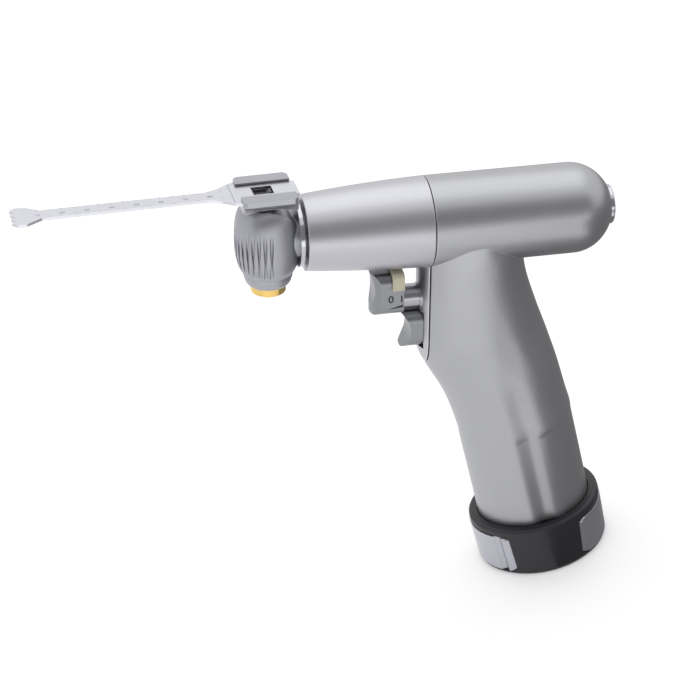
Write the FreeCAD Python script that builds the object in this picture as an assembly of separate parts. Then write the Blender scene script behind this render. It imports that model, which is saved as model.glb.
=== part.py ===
"""Battery-powered surgical oscillating saw with a pistol grip.

Model frame: X runs back along the barrel, Z is the axis that the blade swings about, Y points
to the saw's right-hand side. Every piece is then stood on the flat foot of the battery lid, so
that the grip is upright, the foot is at Z = 0 and the blade points to -X.
"""
import FreeCAD, Part
import math
import os

os.makedirs("parts", exist_ok=True)
V = FreeCAD.Vector
X_AXIS = V(1, 0, 0)
Y_AXIS = V(0, 1, 0)
Z_AXIS = V(0, 0, 1)

# Barrel and nose, millimetres along X from the swing axis
nose_front_x = 14.7
nose_front_r = 16.0
nose_swell = 0.5
nose_bore_r = 12.9
nose_flange = 11.0
parting_x = 67.3
parting_gap = 0.5
parting_inset = 0.6
barrel_r = 19.2
barrel_wall = 2.8
barrel_end_x = 129.2
dome_length = 18.1
rear_cap_r = 8.4
rear_cap_proud = 1.9
rear_cap_depth = 5.0

# Grip, measured along its own leaning axis from the barrel axis
grip_lean = 13.15
grip_axis_x = 85.2
grip_half_length = 25.3
grip_half_width = 21.9
grip_top_half_width = 18.9
grip_wall = 2.2
grip_end_s = 160.0
valley_depth = 1.5
valley_width = 3.4
bay_top_s = 77.0
strip_front_x = 64.3
grip_straight_s = 104.0
section_points = 32
egg_front_r = 16.5
egg_rear_r = 20.5

# Battery lid
foot_s = 172.9
lid_height = 25.4
lid_wall = 3.2
lid_taper = 0.8
lid_gap = 0.4
lid_edge = 2.0
rim_edge = 1.4
lid_floor_s = 162.0
seal_height = 1.4
latch_top_s = 151.6
latch_bottom_s = 170.4
latch_thickness = 1.6
latch_proud = 0.4
latch_travel = 0.8
latch_front_span = 20.0
latch_rear_span = 22.6
latch_corner_r = 2.0
latch_groove_r = 2.6
latch_groove_depth = 0.5
latch_groove_v = 16.2
latch_gap = 0.3
latch_pad_inset = 4.0

# Battery pack
cell_r = 9.1
cell_length = 65.0
battery_gap = 0.4
battery_end_gap = 0.3

# Head
head_top_z = 15.3
head_top_r = 9.6
head_belly_r = 13.75
head_bottom_z = -15.8
head_bottom_r = 10.6
neck_r = 10.0
neck_end_x = 11.8
head_back_r = 14.9
head_back_x = -2.0
head_back_z = 0.4
swivel_ring_r = 14.1
swivel_ring_width = 1.7
spigot_r = 10.1
spigot_end_x = 34.0
spigot_bore_r = 6.6
spigot_nut_r = 12.2
flute_step = 11.0
flute_count = 17
flute_r = 0.8
flute_depth = 0.35
fork_room_r = 8.8
fork_room_top_z = 4.8
fork_room_bottom_z = -8.6
upper_bearing_r = 7.4
lower_bearing_r = 7.4
bearing_height = 4.6
seal_r = 6.6
seal_top_z = 11.0
bottom_ring_z = -21.0
bottom_ring_r = 8.7
button_r = 7.42
button_bottom_z = -25.1
button_top_z = -17.4
button_travel = 1.2
rod_r = 1.6

# Swinging parts
rest_swing = 2.0
swing_half_angle = 3.0
spindle_r = 5.0
spindle_bore_r = 2.0
spindle_bottom_z = -13.8
fork_reach = 12.0
fork_half_height = 2.4
fork_prong = 1.7
clamp_front_x = -11.8
clamp_rear_x = 11.0
clamp_half_width = 12.7
clamp_bottom_z = 16.6
scallop_r = 20.0
scallop_depth = 3.4
scallop_wall = 1.0
pawl_room_z = 18.2
blade_bottom_z = 19.9
blade_thickness = 1.3
rail_gap_half = 6.2
rail_lip = 0.8
rail_clearance = 0.2
pawl_pivot_x = -1.2
pawl_pivot_z = 18.6
pawl_half_width = 1.7
pawl_pin_r = 0.6
pawl_pin_half = 5.0
pawl_tip_x = 1.85
pawl_tail_x = -4.4
pawl_bottom_z = 17.6
arm_bottom_z = 14.4
finger_length = 0.7

# Blade
blade_tip_x = -104.3
blade_rear_x = 12.7
blade_neck_half = 3.4
blade_hub_half = 10.3
blade_tip_half = 7.5
tooth_count = 4
tooth_height = 2.2
window_front_x = -6.0
window_rear_x = 2.5
window_half = 3.6

# Triggers
trigger_z = -34.7
stem_r = 5.3
stem_end_x = 78.0
bush_r = 5.9
knob_front_x = 43.0
knob_rear_x = 56.6
knob_half_width = 7.6
knob_top_z = -21.0
knob_bottom_z = -39.8
trigger_travel = 5.0
safety_front_x = 51.4
safety_width = 5.2
safety_leg_z = -27.2
safety_wall = 0.8
lower_front_x = 55.4
lower_rear_x = 69.5
lower_half_width = 6.2
lower_top_z = -40.6
lower_bottom_z = -57.5
lower_stem_r = 2.6
lower_stem_end_x = 77.0
lower_travel = 4.0
lower_spring_solid = 1.5
slide_gap = 0.3
spring_wall = 0.6
spring_solid = 3.0
knob_plan_r = 9.5
knob_dish_r = 17.0
knob_dish = 1.6
lower_dish_r = 11.0
lower_dish = 4.6
lower_corner_r = 4.8

# Motor and shafts
motor_r = 16.1
motor_front_x = 78.0
motor_rear_x = 122.0
flange_thickness = 4.0
stator_bore_r = 9.9
rotor_r = 9.3
shaft_r = 3.0
coupling_r = 7.0
pin_r = 1.5
roller_r = 2.4
run_fit = 0.05
coupling_x = 64.0
eccentric_x = 15.4
eccentric_r = 4.6
fork_room_x_r = 7.4
screw_r = 1.0
screw_circle_r = 12.6

# Values that follow from the dimensions above
lean = math.radians(grip_lean)
grip_down = V(math.sin(lean), 0, -math.cos(lean))
grip_back = V(math.cos(lean), 0, math.sin(lean))
grip_base = V(grip_axis_x, 0, 0)
blade_top_z = blade_bottom_z + blade_thickness
rail_top_z = blade_top_z + rail_clearance + rail_lip
eccentric_throw = fork_reach * math.tan(math.radians(swing_half_angle))
fork_slot_half = roller_r + 2 * eccentric_throw + 0.2
lower_stem_z = (lower_top_z + lower_bottom_z) / 2.0
lower_wall_x = lower_rear_x + lower_travel + lower_spring_solid
trigger_wall_x = stem_end_x + trigger_travel + spring_solid


def box(x0, x1, y0, y1, z0, z1):
    """A block between two corners."""
    return Part.makeBox(x1 - x0, y1 - y0, z1 - z0, V(x0, y0, z0))


def rod_x(x0, x1, r, z=0.0, y=0.0):
    """A cylinder along X."""
    return Part.makeCylinder(r, x1 - x0, V(x0, y, z), X_AXIS)


def tube_x(x0, x1, r_out, r_in, z=0.0):
    """A plain sleeve along X."""
    return rod_x(x0, x1, r_out, z).cut(rod_x(x0 - 1, x1 + 1, r_in, z))


def rod_z(z0, z1, r, x=0.0, y=0.0):
    """A cylinder along Z."""
    return Part.makeCylinder(r, z1 - z0, V(x, y, z0), Z_AXIS)


def tube_z(z0, z1, r_out, r_in):
    """A plain sleeve along Z."""
    return rod_z(z0, z1, r_out).cut(rod_z(z0 - 1, z1 + 1, r_in))


def rod_y(x, z, r, half):
    """A cylinder along Y, centred on the middle plane."""
    return Part.makeCylinder(r, 2 * half, V(x, -half, z), Y_AXIS)


def polygon(points):
    """Straight edges round a closed outline."""
    closed = points + [points[0]]
    return [Part.makeLine(a, b) for a, b in zip(closed, closed[1:])]


def face_of(edges):
    """The flat face inside a closed chain of edges."""
    return Part.Face(Part.Wire(Part.__sortEdges__(edges)))


def turned(edges, axis):
    """Revolve a closed chain of edges about an axis through the origin."""
    return face_of(edges).revolve(V(0, 0, 0), axis, 360)


def smooth(points):
    """One smooth open curve through a few points."""
    curve = Part.BSplineCurve()
    curve.interpolate(points)
    return curve.toShape()


def swung(shape):
    """Turn a swinging piece to the angle at which the blade stands at rest."""
    out = shape.copy()
    out.rotate(V(0, 0, 0), Z_AXIS, rest_swing)
    return out


def rounded(shape, radius, chosen):
    """Fillet the edges that a test picks."""
    edges = [e for e in shape.Edges if chosen(e)]
    return shape.makeFillet(radius, edges)


def circle_at(edge, axis, place, r):
    """True for a full round edge of this radius at this place along an axis."""
    if not isinstance(edge.Curve, Part.Circle):
        return False
    centre = edge.Curve.Center
    here = centre.x if axis == "x" else centre.z
    return abs(here - place) < 0.01 and abs(edge.Curve.Radius - r) < 0.01


def on_grip(u, v, s):
    """A point of the grip: u back across it, v sideways, s down its axis."""
    return grip_base + grip_back * u + V(0, v, 0) + grip_down * s


def egg_arcs():
    """Centre and radius of the side arcs that join the egg's front and rear arcs."""
    front_u = egg_front_r - grip_half_length
    rear_u = grip_half_length - egg_rear_r
    spread = 2 * (rear_u - front_u)
    slope = 2 * (egg_rear_r - egg_front_r) / spread
    start = (egg_front_r ** 2 - egg_rear_r ** 2 - front_u ** 2 + rear_u ** 2) / spread
    a = slope ** 2
    b = 2 * slope * (start - front_u) - 2 * (grip_half_width - egg_front_r)
    c = (start - front_u) ** 2 + grip_half_width ** 2 - egg_front_r ** 2
    side_r = (-b - math.sqrt(b * b - 4 * a * c)) / (2 * a)
    if side_r < egg_rear_r:
        side_r = (-b + math.sqrt(b * b - 4 * a * c)) / (2 * a)
    return front_u, rear_u, start + slope * side_r, side_r


def egg_point(turn):
    """Point of the arc section with its normal at this angle, as shares of its half sizes."""
    front_u, rear_u, side_u, side_r = egg_arcs()
    side_v = side_r - grip_half_width
    turn = turn if turn <= math.pi else turn - 2 * math.pi
    if abs(turn) < math.atan2(side_v, rear_u - side_u):
        u, v, r = rear_u, 0.0, egg_rear_r
    elif abs(turn) > math.atan2(side_v, front_u - side_u):
        u, v, r = front_u, 0.0, egg_front_r
    else:
        u, v, r = side_u, -math.copysign(side_v, turn), side_r
    across = (u + r * math.cos(turn)) / grip_half_length
    return across, (v + r * math.sin(turn)) / grip_half_width


def egg_wire(front, rear, half_width, s, valley=0.0):
    """Closed section across the grip axis at s, wider towards the back, with side valleys."""
    middle = (rear + front) / 2.0
    half = (rear - front) / 2.0
    points = []
    for i in range(section_points):
        across, sideways = egg_point(2 * math.pi * i / section_points)
        u = middle + half * across
        dip = valley * math.exp(-(u / valley_width) ** 2) * sideways
        points.append(on_grip(u, half_width * sideways - dip, s))
    curve = Part.BSplineCurve()
    curve.interpolate(points, PeriodicFlag=True)
    return Part.Wire([curve.toShape()])


def egg_face(grow, s):
    """The same section in four arcs, grown or shrunk evenly, for all that fits the grip's end."""
    front_u, rear_u, side_u, side_r = egg_arcs()
    side_v = side_r - grip_half_width
    front_turn = math.atan2(side_v, front_u - side_u)
    rear_turn = math.atan2(side_v, rear_u - side_u)

    def at(u, v, r, turn):
        return on_grip(u + r * math.cos(turn), v + r * math.sin(turn), s)

    r_side = side_r + grow
    r_front = egg_front_r + grow
    r_rear = egg_rear_r + grow
    top = (front_turn + rear_turn) / 2.0
    p1 = at(side_u, -side_v, r_side, rear_turn)
    p2 = at(side_u, -side_v, r_side, top)
    p3 = at(side_u, -side_v, r_side, front_turn)
    p4 = at(front_u, 0, r_front, math.pi)
    p5 = at(side_u, side_v, r_side, -front_turn)
    p6 = at(side_u, side_v, r_side, -top)
    p7 = at(side_u, side_v, r_side, -rear_turn)
    p8 = at(rear_u, 0, r_rear, 0.0)
    arcs = [Part.Arc(p1, p2, p3), Part.Arc(p3, p4, p5), Part.Arc(p5, p6, p7), Part.Arc(p7, p8, p1)]
    return Part.Face(Part.Wire([arc.toShape() for arc in arcs]))


def at_grip(edge, s):
    """True for an edge that lies across the grip at s."""
    return abs((edge.CenterOfMass - on_grip(0, 0, s)).dot(grip_down)) < 0.01


def egg_prism(grow, s0, s1):
    """A straight length of the grip's lower section, grown or shrunk all round."""
    return egg_face(grow, s0).extrude(grip_down * (s1 - s0))


def grip_rod(u, v, s0, s1, r):
    """A cylinder along the grip axis."""
    return Part.makeCylinder(r, s1 - s0, on_grip(u, v, s0), grip_down)


def grip_box(u0, u1, v0, v1, s0, s1):
    """A block set square to the grip axis."""
    block = Part.makeBox(u1 - u0, v1 - v0, s1 - s0, V(u0, v0, -s1))
    block.rotate(V(0, 0, 0), Y_AXIS, -grip_lean)
    block.translate(grip_base)
    return block


def dome_curve(shrink, end_r):
    """Elliptic curve from the barrel side back and in to a given radius."""
    length = dome_length - shrink
    r = barrel_r - shrink
    stop = math.asin(end_r / r)
    steps = 6
    points = []
    for i in range(steps + 1):
        t = math.pi / 2 - (math.pi / 2 - stop) * i / steps
        points.append(V(barrel_end_x + length * math.cos(t), 0, r * math.sin(t)))
    curve = Part.BSplineCurve()
    curve.interpolate(points, InitialTangent=X_AXIS,
                      FinalTangent=V(length * math.sin(stop), 0, -r * math.cos(stop)))
    return curve.toShape(), points[-1]


def nose_curve(shrink=0.0):
    """Gently swelled side of the nose cone."""
    mid_x = (nose_front_x + parting_x) / 2.0
    mid_r = (nose_front_r + barrel_r) / 2.0 + nose_swell
    return smooth([V(nose_front_x, 0, nose_front_r - shrink), V(mid_x, 0, mid_r - shrink),
                   V(parting_x, 0, barrel_r - shrink)])


def barrel_outer(shrink=0.0):
    """Nose cone, barrel and domed rear end as one turned form with a flat for the rear cap."""
    r = barrel_r - shrink
    side = Part.makeLine(V(parting_x, 0, r), V(barrel_end_x, 0, r))
    dome, end = dome_curve(shrink, rear_cap_r + 0.4)
    seat = Part.makeLine(end, V(end.x, 0, 0))
    back = Part.makeLine(V(end.x, 0, 0), V(nose_front_x, 0, 0))
    front = Part.makeLine(V(nose_front_x, 0, 0), V(nose_front_x, 0, nose_front_r - shrink))
    return turned([nose_curve(shrink), side, dome, seat, back, front], X_AXIS)


def rear_seat_x():
    """Where the flat end of the dome lies."""
    return dome_curve(0.0, rear_cap_r + 0.4)[1].x


def grip_outer():
    """Grip with its flared top, the strip behind the triggers and the side valleys."""
    half = grip_half_length
    top = grip_top_half_width
    low = grip_half_width
    stations = [
        (2.0, -24.0, 25.1, top - 0.6, 0.0),
        (14.0, -25.6, 20.7, top - 0.2, 0.0),
        (22.0, -27.3, 19.6, top - 0.1, 0.0),
        (30.0, -29.2, 19.0, top, 0.0),
        (38.0, -31.0, 19.4, top + 0.2, 0.05),
        (45.0, -32.6, 20.1, top + 0.4, 0.1),
        (52.0, -34.1, 20.9, top + 0.7, 0.2),
        (60.0, -33.0, 22.0, top + 1.0, 0.35),
        (68.0, -30.7, 22.9, top + 1.45, 0.5),
        (75.0, -28.6, 23.7, top + 1.9, 0.65),
        (88.0, -half - 0.9, half - 0.7, low - 0.6, 0.85),
        (grip_straight_s - 6.0, -half, half, low, 1.0),
        (grip_straight_s, -half, half, low, 1.0),
    ]
    wires = [egg_wire(a, b, w, s, valley_depth * k) for s, a, b, w, k in stations]
    upper = Part.makeLoft(wires, True, False)
    lower = Part.Face(wires[-1]).extrude(grip_down * (grip_end_s - grip_straight_s))
    return upper.fuse(lower)


def outer_body():
    """The whole outside of the handpiece before it is parted."""
    return barrel_outer().fuse(grip_outer())


def front_space():
    """Everything ahead of the parting plane."""
    return box(-50, parting_x - parting_gap / 2, -60, 60, -300, 60)


def rear_space():
    """Everything behind the parting plane."""
    return box(parting_x + parting_gap / 2, 250, -60, 60, -300, 60)


def lower_opening():
    """Square-cornered way in for the lower trigger."""
    half = lower_half_width + slide_gap
    return box(strip_front_x - 4, lower_wall_x, -half, half,
               lower_bottom_z - slide_gap, lower_top_z + slide_gap)


def trigger_room():
    """Space inside the handpiece for the trigger stem and its spring."""
    return rod_x(parting_x - 1, trigger_wall_x, bush_r, trigger_z)


def front_cover(outer):
    """Nose cone and the strip down the front of the grip."""
    cover = outer.common(front_space())
    cover = cover.cut(rod_x(nose_front_x - 1, parting_x, spigot_r + 1.0))
    cover = cover.cut(rod_x(nose_front_x + nose_flange, parting_x, nose_bore_r))
    cover = cover.cut(rod_x(knob_front_x, parting_x, bush_r, trigger_z))
    cover = cover.cut(lower_opening())
    return cover.Solids[0]


def main_housing(outer):
    """Barrel and grip casing with its motor bore, trigger space and battery bay."""
    seat_x = rear_seat_x()
    case = outer.common(rear_space())
    case = case.cut(rod_x(parting_x - 1, motor_rear_x + flange_thickness, barrel_r - barrel_wall))
    case = case.cut(rod_x(seat_x - rear_cap_depth, seat_x + 1, rear_cap_r - 2.0))
    case = case.cut(trigger_room())
    case = case.cut(lower_opening())
    case = case.cut(rod_x(lower_rear_x, lower_stem_end_x + lower_travel + slide_gap,
                          lower_stem_r + run_fit, lower_stem_z))
    case = case.cut(egg_prism(-grip_wall, bay_top_s, grip_end_s + 1))
    case = case.cut(grip_box(-11, 11, -13, 13, bay_top_s - 14, bay_top_s + 1))
    case = case.cut(grip_rod(6.0, 0, 14, bay_top_s - 13, 5.0))
    return case.Solids[0]


def parting_seal():
    """Thin gasket between the cover and the housing, just inside their edges."""
    return tube_x(parting_x - parting_gap / 2, parting_x + parting_gap / 2,
                  barrel_r - parting_inset, barrel_r - barrel_wall)


def rear_cap():
    """Polished plug in the end of the dome, with a small key notch at its edge."""
    seat_x = rear_seat_x()
    cap = rod_x(seat_x, seat_x + rear_cap_proud, rear_cap_r)
    cap = rounded(cap, 0.6, lambda e: circle_at(e, "x", seat_x + rear_cap_proud, rear_cap_r))
    cap = cap.fuse(rod_x(seat_x - rear_cap_depth + 0.5, seat_x, rear_cap_r - 2.0 - run_fit))
    notch = box(seat_x + 0.5, seat_x + 4, -0.9, 0.9, -rear_cap_r - 1, -rear_cap_r + 1.1)
    return cap.cut(notch)


def lid_prism(grow, s0, s1):
    """A length of the lid's outside, which widens towards its rim, grown or shrunk evenly."""
    ends = []
    for s in (s0, s1):
        spread = lid_wall + lid_gap + lid_taper * (foot_s - s) / lid_height
        ends.append(egg_face(spread + grow, s).OuterWire)
    return Part.makeLoft(ends, True, True)


def battery_lid():
    """Lid that closes the bay, with a rim round the grip and two side pockets for the latches."""
    top_s = foot_s - lid_height
    lid = lid_prism(0.0, top_s, foot_s)
    lid = rounded(lid, lid_edge, lambda e: at_grip(e, foot_s))
    lid = rounded(lid, rim_edge, lambda e: at_grip(e, top_s))
    lid = lid.cut(egg_prism(lid_gap, top_s - 1, lid_floor_s))
    for side in (-1, 1):
        lid = lid.cut(latch_pocket(side))
    return lid.Solids[0]


def latch_shell(out, deep, gap, side):
    """Part of the lid wall between two depths, cut to a latch's height and width."""
    low = latch_bottom_s + gap
    high = latch_top_s - gap
    shell = lid_prism(out, high, low).cut(lid_prism(-deep, high - 1, low + 1))
    half = (latch_rear_span if side > 0 else latch_front_span) + gap
    reach = grip_half_length + 12
    u0, u1 = (4.0, reach) if side > 0 else (-reach, -4.0)
    window = grip_box(u0, u1, -half, half, high, low)
    window = rounded(window, latch_corner_r + max(gap, 0.0),
                     lambda e: abs(e.tangentAt(e.FirstParameter).dot(grip_back)) > 0.9)
    return shell.common(window)


def latch_pocket(side):
    """Recess for a latch, deep enough for its press."""
    return latch_shell(5.0, latch_thickness + latch_travel, latch_gap, side)


def latch(side):
    """Curved press plate; the front one has a finger groove near each end."""
    plate = latch_shell(latch_proud, latch_thickness - latch_proud, 0.0, side)
    if side < 0:
        for v in (-latch_groove_v, latch_groove_v):
            plate = plate.cut(latch_groove(v))
    return plate.Solids[0]


def latch_groove(v):
    """Round cutter along the front latch where the wall stands at v across the grip."""
    front_u = egg_front_r - grip_half_length
    wall_r = egg_front_r + lid_wall + lid_gap + latch_proud
    u = front_u - math.sqrt(wall_r ** 2 - v ** 2)
    out = V(u - front_u, v, 0).normalize() * (latch_groove_r - latch_groove_depth)
    low = on_grip(u + out.x, v + out.y, latch_bottom_s + 1)
    high = on_grip(u + out.x - lid_taper, v + out.y, latch_top_s - 1)
    return Part.makeCylinder(latch_groove_r, (low - high).Length, high, low - high)


def swivel_bush():
    """Plain bush in the nose that the head turns in."""
    return tube_x(nose_front_x + 0.8, nose_front_x + nose_flange - 0.4, spigot_r + 1.0,
                  spigot_r + run_fit)


def motor_can():
    """Stator and its steel can."""
    return tube_x(motor_front_x, motor_rear_x, motor_r, stator_bore_r)


def motor_plate(x0):
    """End plate of the motor with its shaft bearing seat and three screw holes."""
    plate = tube_x(x0, x0 + flange_thickness, motor_r, shaft_r + run_fit)
    for i in range(3):
        plate = plate.cut(motor_screw_place(i, x0 - 1, x0 + flange_thickness + 1, screw_r))
    return plate


def motor_screw_place(i, x0, x1, r):
    """A rod along X at one of the three screw places of the motor."""
    turn = math.radians(90 + 120 * i)
    return rod_x(x0, x1, r, screw_circle_r * math.sin(turn), screw_circle_r * math.cos(turn))


def motor_screws():
    """Three cap screws that hold the front plate to the stator."""
    screws = []
    for i in range(3):
        head = motor_screw_place(i, motor_front_x - flange_thickness - 1.6,
                                 motor_front_x - flange_thickness, screw_r + 0.9)
        shank = motor_screw_place(i, motor_front_x - flange_thickness, motor_front_x, screw_r)
        screws.append(head.fuse(shank).removeSplitter())
    return screws


def rotor():
    """Magnet rotor."""
    return tube_x(motor_front_x + 2.0, motor_rear_x - 2.0, rotor_r, shaft_r)


def motor_shaft():
    """Shaft through the motor."""
    return rod_x(coupling_x + 0.5, motor_rear_x + flange_thickness - 0.3, shaft_r)


def coupling():
    """Split sleeve that joins the motor shaft to the drive shaft."""
    sleeve = tube_x(coupling_x - 5.0, coupling_x + 5.0, coupling_r, shaft_r)
    slit = box(coupling_x - 4.0, coupling_x + 4.0, -0.5, 0.5, shaft_r - 1, coupling_r + 1)
    return sleeve.cut(slit)


def drive_shaft():
    """Shaft from the coupling to the eccentric in the head."""
    return rod_x(eccentric_x + 2.9, coupling_x - 0.5, shaft_r)


def pin_offset():
    """Where the eccentric pin stands at rest, so that the fork's angle fits it."""
    y = fork_reach * math.tan(math.radians(rest_swing))
    z = math.sqrt(eccentric_throw ** 2 - y ** 2)
    return y, z


def eccentric():
    """Disc with an off-centre pin at the front of the drive shaft."""
    y, z = pin_offset()
    disc = rod_x(eccentric_x, eccentric_x + 2.9, eccentric_r)
    pin = rod_x(fork_reach - 2.8, eccentric_x, pin_r, z, y)
    return disc.fuse(pin)


def roller():
    """Roller on the eccentric pin, which runs in the fork."""
    y, z = pin_offset()
    outer = rod_x(fork_reach - 2.6, fork_reach + 2.4, roller_r, z, y)
    return outer.cut(rod_x(fork_reach - 4, fork_reach + 4, pin_r + run_fit, z, y))


def drive_bearings():
    """Two ball bearings in the head's spigot."""
    pair = []
    for x0 in (eccentric_x + 4.6, spigot_end_x - 5.0):
        pair.append(ball_bearing(x0, 4.2, spigot_bore_r, shaft_r + run_fit))
    return pair


def ball_bearing(x0, width, r_out, r_in):
    """Bearing along X with a shield groove in each face."""
    ring = tube_x(x0, x0 + width, r_out, r_in)
    middle = (r_out + r_in) / 2.0
    for x in (x0 - 0.5, x0 + width - 0.3):
        ring = ring.cut(tube_x(x, x + 0.8, middle + 0.6, middle - 0.6))
    return ring


def head_meridian():
    """Side of the ovoid head from its top shoulder to its foot."""
    return [V(head_top_r, 0, head_top_z), V(12.0, 0, 12.3), V(13.3, 0, 7.6),
            V(head_belly_r, 0, 1.0), V(13.6, 0, -6.2), V(12.4, 0, -12.2),
            V(head_bottom_r, 0, head_bottom_z)]


def head_form():
    """Ovoid head with its neck and the spigot that turns in the nose."""
    side = smooth(head_meridian())
    top = Part.makeLine(V(0, 0, head_top_z), V(head_top_r, 0, head_top_z))
    foot = Part.makeLine(V(head_bottom_r, 0, head_bottom_z), V(0, 0, head_bottom_z))
    axis = Part.makeLine(V(0, 0, head_bottom_z), V(0, 0, head_top_z))
    ovoid = turned([side, top, foot, axis], Z_AXIS)
    ovoid = ovoid.cut(box(neck_end_x, 30, -20, 20, -20, 20))
    behind = box(0, 30, -20, 20, head_back_z, 20)
    ovoid = ovoid.cut(behind.cut(rod_y(head_back_x, head_back_z, head_back_r, 20)))
    neck = rod_x(2.0, neck_end_x, neck_r)
    spigot = rod_x(neck_end_x - 1, spigot_end_x, spigot_r)
    return ovoid.fuse(neck).fuse(spigot)


def flute(turn):
    """One leaning round cutter; it leaves a lens-ended groove in the belly of the head."""
    top = V(head_belly_r + flute_r - 0.1, 0, 6.0)
    low = V(head_bottom_r + flute_r + 0.75, 0, head_bottom_z - 1.0)
    inward = V(-flute_depth, 0, 0)
    cutter = Part.makeCylinder(flute_r, (low - top).Length, top + inward, low - top)
    cutter.rotate(V(0, 0, 0), Z_AXIS, turn)
    return cutter


def head_housing():
    """Fluted head casing with the fork room, bearing seats and spigot bore."""
    head = head_form()
    first = 180 - flute_step * (flute_count - 1) / 2.0
    cutters = [flute(first + flute_step * i) for i in range(flute_count)]
    head = head.cut(cutters)
    head = head.cut(rod_z(fork_room_bottom_z, fork_room_top_z, fork_room_r))
    head = head.cut(rod_z(fork_room_top_z - 1, fork_room_top_z + bearing_height, upper_bearing_r))
    head = head.cut(rod_z(fork_room_top_z, seal_top_z, seal_r))
    head = head.cut(rod_z(0, head_top_z + 1, spindle_r + slide_gap))
    head = head.cut(rod_z(head_bottom_z - 1, fork_room_bottom_z + 1, lower_bearing_r))
    head = head.cut(rod_x(0, eccentric_x + 3.4, fork_room_x_r))
    head = head.cut(rod_x(0, spigot_end_x + 1, spigot_bore_r))
    return head.Solids[0]


def swivel_ring():
    """Ring between the head and the nose."""
    return tube_x(neck_end_x, neck_end_x + swivel_ring_width, swivel_ring_r, spigot_r)


def spigot_nut():
    """Ring nut that holds the head in the nose."""
    x0 = nose_front_x + nose_flange + 0.4
    nut = tube_x(x0, x0 + 5.0, spigot_nut_r, spigot_r)
    for i in range(4):
        slot = box(x0 + 3.4, x0 + 6, -1.2, 1.2, spigot_nut_r - 1.2, spigot_nut_r + 1)
        slot.rotate(V(0, 0, 0), X_AXIS, 90 * i)
        nut = nut.cut(slot)
    return nut


def upper_bearing():
    """Upper bearing of the swing spindle."""
    return tube_z(fork_room_top_z, fork_room_top_z + bearing_height, upper_bearing_r,
                  spindle_r + run_fit)


def lower_bearing():
    """Lower bearing of the swing spindle."""
    return tube_z(fork_room_bottom_z - bearing_height, fork_room_bottom_z, lower_bearing_r,
                  spindle_r + run_fit)


def spindle_seal():
    """Lip seal over the upper bearing."""
    z0 = fork_room_top_z + bearing_height
    return tube_z(z0, seal_top_z, seal_r, spindle_r + slide_gap)


def head_bottom_ring():
    """Turned ring under the head that guides the release button."""
    bore = button_r + run_fit
    ring = turned(polygon([
        V(bore, 0, head_bottom_z), V(head_bottom_r - 0.2, 0, head_bottom_z),
        V(head_bottom_r - 0.3, 0, head_bottom_z - 1.6), V(9.6, 0, bottom_ring_z + 1.3),
        V(bottom_ring_r, 0, bottom_ring_z), V(bore, 0, bottom_ring_z)]), Z_AXIS)
    return ring


def release_button():
    """Push button under the head, with two small notches in its lower edge."""
    low = button_bottom_z
    button = rod_z(low, button_top_z, button_r)
    button = rounded(button, 0.7, lambda e: circle_at(e, "z", low, button_r))
    button = button.cut(rod_z(low - 1, low + 0.5, button_r - 2.2))
    for turn in (60, 240):
        notch = box(button_r - 0.9, button_r + 1, -0.8, 0.8, low - 1, low + 1.3)
        notch.rotate(V(0, 0, 0), Z_AXIS, turn)
        button = button.cut(notch)
    return button


def push_rod():
    """Rod up through the spindle, with an arm and a finger under the latch's tail."""
    reach = pawl_tail_x
    rod = rod_z(button_top_z, arm_bottom_z + 1.4, rod_r)
    arm = box(reach, 0, -1.2, 1.2, arm_bottom_z, arm_bottom_z + 1.4)
    finger = box(reach, reach + finger_length, -1.2, 1.2, arm_bottom_z + 1, pawl_bottom_z - 0.1)
    return rod.fuse(arm).fuse(finger).removeSplitter()


def folded_spring(x0, x1, r_out, r_in, folds):
    """Spring along X, folded to and fro between two radii like a stack of disc springs."""
    step = (x1 - x0) / (2 * folds)
    upper = []
    for i in range(2 * folds + 1):
        upper.append(V(x0 + step * i, 0, r_in + spring_wall if i % 2 else r_out))
    lower = [V(p.x, 0, p.z - spring_wall) for p in reversed(upper)]
    return turned(polygon(upper + lower), X_AXIS)


def button_spring():
    """Spring between the release button and the lower bearing."""
    high = fork_room_bottom_z - bearing_height
    spring = folded_spring(button_top_z, high, lower_bearing_r - 0.5, spindle_r + 0.7, 2)
    spring.rotate(V(0, 0, 0), Y_AXIS, -90)
    return spring


def output_spindle():
    """Hollow spindle that carries the fork and the blade clamp."""
    spindle = rod_z(spindle_bottom_z, clamp_bottom_z, spindle_r)
    spindle = spindle.cut(rod_z(spindle_bottom_z - 1, clamp_bottom_z + 1, spindle_bore_r))
    slot = box(pawl_tail_x - 1.0, 0, -1.7, 1.7, arm_bottom_z - 0.6, clamp_bottom_z + 1)
    return swung(spindle.cut(slot))


def fork():
    """Fork on the spindle that the roller drives from side to side."""
    hub = tube_z(-3.4, 3.4, spindle_r + 2.4, spindle_r)
    slot = fork_slot_half
    arms = box(0, fork_reach + 2.4, -slot - fork_prong, slot + fork_prong,
               -fork_half_height, fork_half_height)
    arms = arms.cut(rod_z(-5, 5, spindle_r + 0.5))
    body = hub.fuse(arms)
    body = body.cut(box(fork_reach - 3.4, fork_reach + 4, -slot, slot, -5, 5))
    return swung(body)


def scallop(grow):
    """Leaning round cutter at the near side of the clamp, deepest at its top edge."""
    middle = (clamp_front_x + clamp_rear_x) / 2.0
    lean_out = V(0, -scallop_depth, clamp_bottom_z - rail_top_z)
    top = V(middle, -clamp_half_width + scallop_depth - scallop_r, rail_top_z)
    return Part.makeCylinder(scallop_r + grow, 3 * lean_out.Length, top - lean_out, lean_out)


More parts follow.
